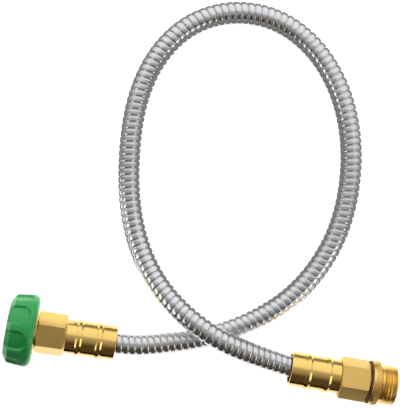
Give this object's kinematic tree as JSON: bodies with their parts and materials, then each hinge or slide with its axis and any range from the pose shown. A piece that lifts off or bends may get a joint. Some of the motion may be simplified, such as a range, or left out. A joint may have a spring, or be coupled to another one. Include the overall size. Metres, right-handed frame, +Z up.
{
  "type": "garden hose extension",
  "caption": "Short steel-armoured garden hose in one loop, with a swivelling female coupling in a lobed green grip and a brass male end.",
  "frame": {"origin": "on the ground, midway between the outer ends of the two fittings, under the female fitting's axis", "axes": "+X from the female end to the male end along the fittings, +Y towards the hose's loop, +Z up. The female fitting's mouth is tipped up by 8.5 degrees, because it rests on its wide grip."},
  "size_m": [0.2716, 0.2753, 0.049],
  "materials": {
    "brass": "polished, with fine turning marks",
    "steel_armour": "bright stainless interlock strip",
    "spring_steel": "plain",
    "black_rubber": "matt",
    "green_plastic": "satin moulding"
  },
  "bodies": {
    "hose_line": {"female_tailpiece": "brass", "retaining_clip": "spring_steel", "female_ferrule": "brass", "female_liner_end": "black_rubber", "hose": "steel_armour", "male_liner_end": "black_rubber", "male_ferrule": "brass", "male_tailpiece": "brass", "nipple_gasket": "black_rubber", "male_nipple": "brass"},
    "coupling": {"coupling_grip": "green_plastic", "swivel_nut": "brass", "hose_washer": "black_rubber"}
  },
  "joints": [
    {"name": "coupling_swivel", "type": "hinge", "parent": "hose_line", "child": "coupling", "pos_m": [-0.12211, 0, 0.0247], "axis": [0.989, 0, -0.1478], "continuous": true}
  ]
}
